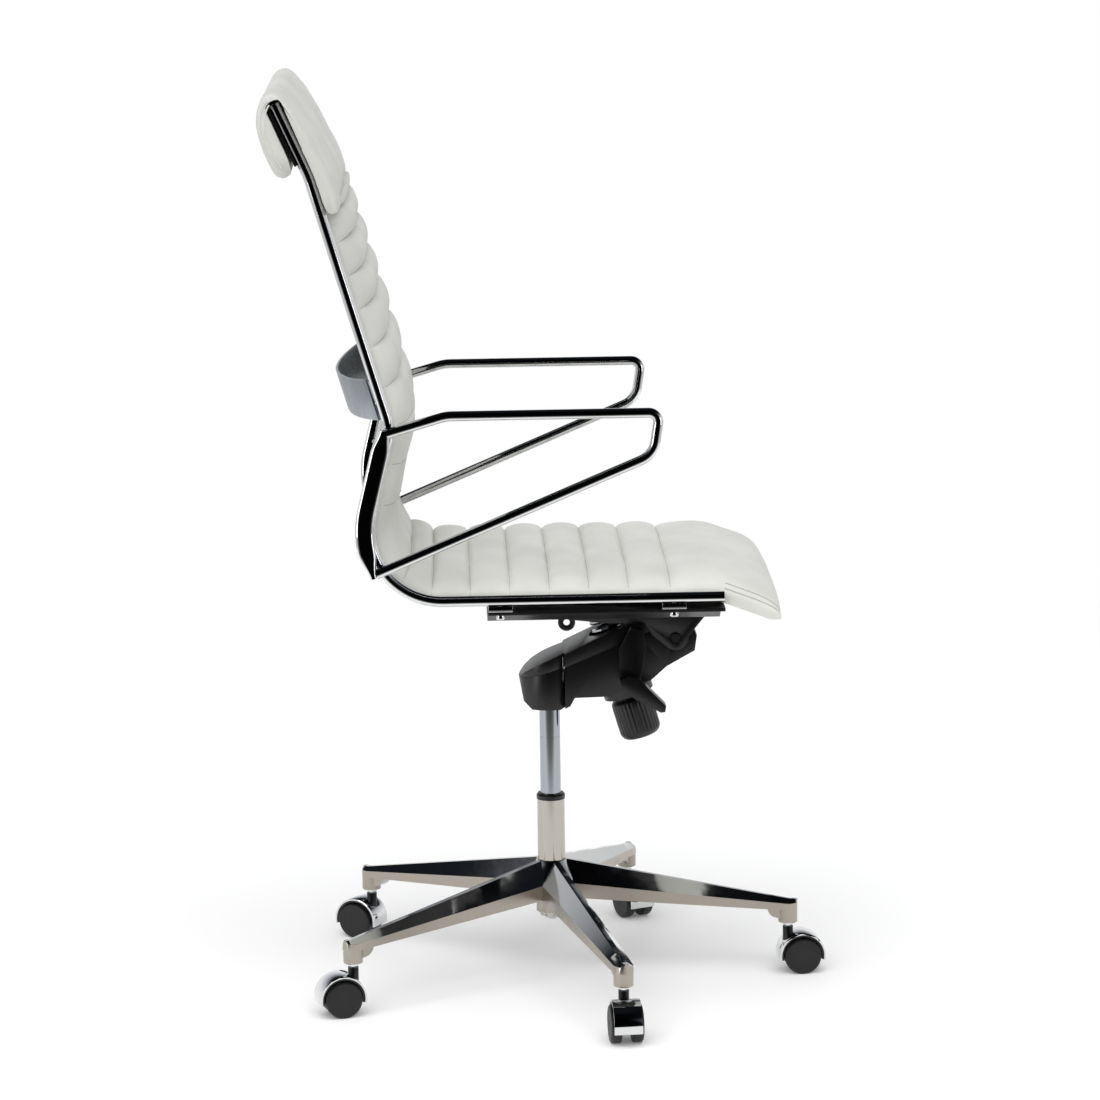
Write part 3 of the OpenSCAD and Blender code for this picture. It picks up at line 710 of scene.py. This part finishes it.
class CHAIR_OT_base(bpy.types.Operator):
    """Build the polished five-leg base"""

    bl_idname = "chair.base"
    bl_label = "Star base"

    def execute(self, context):
        bm = bmesh.new()
        marks = bm.verts.layers.int.new("corner"), bm.verts.layers.int.new("station")
        for i in range(LEG_COUNT):
            self.leg(bm, math.radians(FIRST_LEG - i * LEG_STEP), *marks)
        self.hub(bm)
        finish_mesh(bm, "star_base_casting", "casting", "base", ["star_base"],
                    sharp=30)
        return {"FINISHED"}

    def leg(self, bm, angle, corner, station):
        """A leg's section is a low wall under two facets that meet in a ridge."""
        before = set(bm.verts)
        reach = [LEG_ROOT + 290 * k / 24 for k in range(25)]
        reach += [SOCKET_RADIUS + SOCKET_HALF * math.sin(math.pi / 2 * k / 8) for k in range(1, 8)]
        ring = bmesh.ops.create_circle(bm, cap_ends=False, segments=6, radius=1)["verts"]
        for k, v in enumerate(ring):
            v[corner] = k

        def mark(i, verts):
            for v in verts:
                v[station] = i

        loft(bm, ring, [Matrix.Translation((r * MM, 0, 0)) for r in reach], marks=mark)
        leg_verts = [v for v in bm.verts if v not in before]
        for v in leg_verts:
            r = reach[v[station]]
            share = min((r - LEG_ROOT) / 309, 1)
            half = 23 - 10 * share
            if r > SOCKET_RADIUS:
                half = SOCKET_HALF * math.sqrt(max(0.02, 1 - ((r - SOCKET_RADIUS) / 13.2) ** 2))
            low, mid, top = 112 - 24 * share, 133 - 36 * share, 162 - 60 * share
            ridge = min(4 - share, half * 0.4)
            section = [(half, low), (half, mid), (ridge, top), (-ridge, top), (-half, mid), (-half, low)]
            y, z = section[v[corner]]
            v.co = Vector((r, y, z)) * MM
        leg_edges = {e for v in leg_verts for e in v.link_edges}
        leg_edges = [e for e in leg_edges if len(e.link_faces) == 2]
        bevel(bm, [e for e in leg_edges if e.calc_face_angle(0) > math.radians(20)], 1.3, 3)
        # the socket under the tip, with a curved web up to the leg
        spun(bm, [(0, 70), (11.2, 70), (12.6, 70), (13, 71), (13, 97.5), (0, 97.5)], (SOCKET_RADIUS, 0), 40)
        square = Matrix.Rotation(math.pi / 4, 4, "Z")
        frames = []
        for k in range(10):
            z = 76 + 18 * k / 9
            inner = 308 - math.sqrt(max(0.0, 256 - (92 - min(z, 92)) ** 2))
            size = Matrix.Diagonal(((314 - inner) * 0.707 * MM, 11.3 * MM, 1, 1))
            frames.append(Matrix.Translation(((314 + inner) / 2 * MM, 0, z * MM)) @ size @ square)
        loft(bm, bmesh.ops.create_circle(bm, cap_ends=False, segments=4, radius=1)["verts"], frames)
        new = [v for v in bm.verts if v not in before]
        bmesh.ops.rotate(bm, cent=(0, 0, 0), matrix=Matrix.Rotation(angle, 3, "Z"), verts=new)

    def hub(self, bm):
        """The boss that the legs meet in, with its tapered bore."""
        spun(bm, [
            (19, 161.5), (20.5, 161), (22.5, 157), (27, 147), (34, 137), (36, 132), (36, 113), (33, 110),
            (21.5, 108), (21.5, 89.2), (20.6, 88), (16.6, 88), (16.6, 95), (18.9, 160),
        ], (0, 0), 96, closed=True)


def spun(bm, profile, at, steps, closed=False):
    """Revolves (radius, height) points about an upright line at x, y."""
    verts = [bm.verts.new(((at[0] + r) * MM, at[1] * MM, z * MM)) for r, z in profile]
    edges = [bm.edges.new((a, b)) for a, b in zip(verts, verts[1:])]
    if closed:
        edges.append(bm.edges.new((verts[-1], verts[0])))
    bmesh.ops.spin(
        bm, geom=verts + edges, cent=(at[0] * MM, at[1] * MM, 0), axis=(0, 0, 1),
        angle=math.tau, steps=steps, use_merge=True,
    )
    near = [v for v in bm.verts if (v.co.xy - Vector(at) * MM).length < 60 * MM]
    bmesh.ops.remove_doubles(bm, verts=near, dist=0.000002)


class CHAIR_OT_casters(bpy.types.Operator):
    """Soften the castors' hoods, bodies and wheels"""

    bl_idname = "chair.casters"
    bl_label = "Castors"

    def execute(self, context):
        for i in range(1, LEG_COUNT + 1):
            rounded_copy(f"caster_hood_{i}", 0.5, "chrome")
            rounded_copy(f"caster_body_{i}", 0.4, "plastic", segments=1)
            for half in "ab":
                rounded_copy(f"wheel_{i}{half}", 0.6, "tread")
            paint(f"caster_axle_{i}", "steel")
        paint("caster_stems", "chrome")
        return {"FINISHED"}


def paint(node, finish):
    """Gives a CAD node one of the chair's finishes."""
    mesh = frame["nodes"][node].data
    mesh.materials.clear()
    mesh.materials.append(material(finish))


# ---------- Mechanism ----------


class CHAIR_OT_mechanism(bpy.types.Operator):
    """Finish the tilt mechanism, its knob and lever, and the column"""

    bl_idname = "chair.mechanism"
    bl_label = "Mechanism and column"

    def execute(self, context):
        rounded_copy("mechanism_housing", 2.0, "plastic", segments=3)
        rounded_copy("housing_cover", 1.6, "plastic", segments=3)
        rounded_copy("height_lever", 2.2, "plastic", segments=3)
        rounded_copy("tilt_bracket", 0.8, "paint")
        rounded_copy("bracket_ears", 0.8, "paint")
        rounded_copy("seat_plate", 0.8, "paint")
        rounded_copy("rail_blocks", 0.8, "chrome")
        rounded_copy("frame_bolts", 0.8, "chrome")
        rounded_copy("back_strap", 0.7, "satin")
        rounded_copy("headrest_plate", 0.6, "paint")
        self.knob()
        paint("column_tube", "fixed_tube")
        paint("gas_cylinder", "ground_tube")
        paint("guide_bush", "plastic")
        for node in (
            "column_clip", "thrust_bearing", "piston_rod", "release_pin", "release_rocker", "rocker_pin",
            "tension_bolt", "spring_plate", "tilt_spring",
        ):
            paint(node, "steel")
        paint("pivot_axle", "paint")
        paint("arm_screws", "chrome")
        return {"FINISHED"}

    def knob(self):
        """A turned grip with shallow flutes."""
        foot = Matrix.Translation((0, KNOB_FOOT[0] * MM, KNOB_FOOT[1] * MM))
        tilt = foot @ Matrix.Rotation(math.radians(-KNOB_TILT), 4, "X")
        profile = [
            (0.5, 0.4), (8, 0.2), (17, 0.6), (22.5, 1.8), (25.4, 4.2), (27.4, 8), (27.8, 11), (28, 20),
            (28, 44), (27.6, 50), (26.8, 53), (24.4, 55.4), (20, 56.6), (5.2, 57),
        ]
        bm = bmesh.new()
        ring = bmesh.ops.create_circle(bm, cap_ends=False, segments=180, radius=1)["verts"]
        frames = [
            tilt @ Matrix.Translation((0, 0, z * MM)) @ Matrix.Diagonal((r * MM, r * MM, 1, 1))
            for r, z in profile
        ]
        loft(bm, ring, frames)
        back = tilt.inverted()
        for v in bm.verts:
            p = back @ v.co
            radius = math.hypot(p.x, p.y) / MM
            grip = ramp(radius, 24, 27.5) * ramp(p.z / MM, 5, 11)
            flute = 0.5 - 0.5 * math.cos(30 * math.atan2(p.y, p.x))
            scale = 1 - grip * 0.9 * flute ** 2 / max(radius, 1)
            v.co = tilt @ Vector((p.x * scale, p.y * scale, p.z))
        finish_mesh(bm, "knob_grip", "plastic", "knob", ["tension_knob"], sharp=60)


# ---------- Stage ----------


class CHAIR_OT_stage(bpy.types.Operator):
    """Make the floor, the lights and the camera"""

    bl_idname = "chair.stage"
    bl_label = "Stage"

    def execute(self, context):
        settings = context.scene.chair_stage
        scene = context.scene
        scene.view_settings.view_transform = "Standard"
        bm = bmesh.new()
        bmesh.ops.create_circle(bm, cap_ends=True, segments=128, radius=settings.floor_radius)
        mesh = bpy.data.meshes.new("floor")
        bm.to_mesh(mesh)
        bm.free()
        floor = bpy.data.objects.new("floor", mesh)
        scene.collection.objects.link(floor)
        white, tree, shader = new_material("matt_white_floor", Roughness=0.75, Emission_Strength=0.1)
        # the floor's colour and its faint glow run from white under the chair to near black at the rim
        # towards the camera, a dark band that the tubes reflect
        where = add(tree, "ShaderNodeSeparateXYZ", {0: (add(tree, "ShaderNodeTexCoord"), "Object")})
        run = add(tree, "ShaderNodeMapRange", {
            "Value": (where, "X"), "From Min": -settings.floor_radius, "From Max": 0.0,
        })
        paper = add(tree, "ShaderNodeValToRGB", {"Fac": (run, 0)}, stops=[
            (0.0, "#26292E"), (0.26, "#4C4C49"), (0.44, "#8A8780"), (0.62, "#F6F6F5"),
        ])
        for socket in ("Base Color", "Emission Color"):
            tree.links.new(paper.outputs[0], shader.inputs[socket])
        mesh.materials.append(white)

        camera = bpy.data.objects.new("camera", bpy.data.cameras.new("camera"))
        scene.collection.objects.link(camera)
        camera.location = settings.camera_at
        camera.rotation_euler = settings.camera_turn
        camera.data.lens = settings.lens
        camera.data.sensor_width = 36
        camera.data.clip_end = 60
        scene.camera = camera

        # an even overhead wash for the floor and leather
        wash = bpy.data.objects.new("wash", bpy.data.lights.new("wash", "SUN"))
        scene.collection.objects.link(wash)
        wash.data.energy, wash.data.angle = settings.wash_power, math.radians(75)
        wash.visible_glossy = False
        wash.rotation_euler = Vector((0.6, -0.1, -1)).to_track_quat("-Z", "Y").to_euler()
        # softboxes that draw the long highlights on the metal
        for name, at, aim, size, power in (
            ("front_softbox", (-2.5, -2.9, 0.75), (0, 0, 0.75), (0.4, 1.6), 9),
            ("rear_softbox", (-2.3, 3.1, 0.75), (0, 0, 0.75), (0.7, 1.6), 15),
        ):
            lamp = bpy.data.lights.new(name, "AREA")
            lamp.shape, lamp.size, lamp.size_y, lamp.energy = "RECTANGLE", size[0], size[1], power
            holder = bpy.data.objects.new(name, lamp)
            scene.collection.objects.link(holder)
            holder.location = at
            holder.rotation_euler = (Vector(aim) - Vector(at)).to_track_quat("-Z", "Y").to_euler()
        self.studio(scene)
        return {"FINISHED"}

    def studio(self, scene):
        """A white set seen by the camera, and a darker room for the metal to reflect."""
        world = bpy.data.worlds.new("studio")
        scene.world = world
        world.use_nodes = True
        tree = world.node_tree
        tree.nodes.clear()
        where = add(tree, "ShaderNodeTexCoord")
        axes = add(tree, "ShaderNodeSeparateXYZ", {0: (where, "Generated")})
        # height bands: pale floor, bright horizon, dark ceiling
        height = add(tree, "ShaderNodeMapRange", {"Value": (axes, "Z"), "From Min": -1.0, "From Max": 1.0})
        bands = add(tree, "ShaderNodeValToRGB", {"Fac": (height, 0)}, stops=[
            (0.0, "#E6E6E6"), (0.47, "#DADADA"), (0.52, "#FFFFFF"), (0.66, "#C8CBD0"),
            (0.78, "#20242A"), (0.9, "#0A0B0D"), (1.0, "#15171A"),
        ])
        # the side the camera stands on is dark
        depth = add(tree, "ShaderNodeMapRange", {"Value": (axes, "X"), "From Min": -1.0, "From Max": 1.0})
        side = add(tree, "ShaderNodeValToRGB", {"Fac": (depth, 0)}, stops=[
            (0.0, "#050505"), (0.08, "#0C0D0F"), (0.18, "#9A9DA2"), (0.30, "#FFFFFF"),
        ])
        room = add(tree, "ShaderNodeMix", {"Factor": 1.0, 6: (bands, 0), 7: (side, 0)},
                   data_type="RGBA", blend_type="MULTIPLY")
        dim = add(tree, "ShaderNodeBackground", {"Color": (room, 2), "Strength": 1.0})
        set_white = add(tree, "ShaderNodeBackground", {"Color": (1, 1, 1, 1), "Strength": 1.0})
        fill = add(tree, "ShaderNodeBackground", {"Color": (0.97, 0.98, 1, 1), "Strength": 0.5})
        rays = add(tree, "ShaderNodeLightPath")
        diffuse = add(tree, "ShaderNodeMixShader", {
            0: (rays, "Is Diffuse Ray"), 1: (dim, 0), 2: (fill, 0),
        })
        seen = add(tree, "ShaderNodeMixShader", {
            0: (rays, "Is Camera Ray"), 1: (diffuse, 0), 2: (set_white, 0),
        })
        add(tree, "ShaderNodeOutputWorld", {"Surface": (seen, 0)})


OPERATORS = [
    CHAIR_OT_stage, CHAIR_OT_base, CHAIR_OT_casters, CHAIR_OT_mechanism,
    CHAIR_OT_rails, CHAIR_OT_arms, CHAIR_OT_sling, CHAIR_OT_headrest,
]


class CHAIR_PT_sidebar(bpy.types.Panel):
    """The chair's settings and operators"""

    bl_label = "Swivel chair"
    bl_space_type = "VIEW_3D"
    bl_region_type = "UI"
    bl_category = "Chair"

    def draw(self, context):
        for group in (context.scene.chair_leather, context.scene.chair_stage):
            for name in group.__annotations__:
                self.layout.prop(group, name)
        for operator in OPERATORS:
            self.layout.operator(operator.bl_idname)


CLASSES = [ChairLeather, ChairStage, *OPERATORS, CHAIR_PT_sidebar]


def register():
    """Adds the classes and their settings to Blender."""
    for cls in CLASSES:
        bpy.utils.register_class(cls)
    bpy.types.Scene.chair_leather = PointerProperty(type=ChairLeather)
    bpy.types.Scene.chair_stage = PointerProperty(type=ChairStage)


def unregister():
    """Takes them away again."""
    del bpy.types.Scene.chair_leather
    del bpy.types.Scene.chair_stage
    for cls in reversed(CLASSES):
        bpy.utils.unregister_class(cls)


def main():
    """Builds the chair."""
    register()
    for operator in OPERATORS:
        group, name = operator.bl_idname.split(".")
        getattr(getattr(bpy.ops, group), name)()


if __name__ == "__main__":
    main()
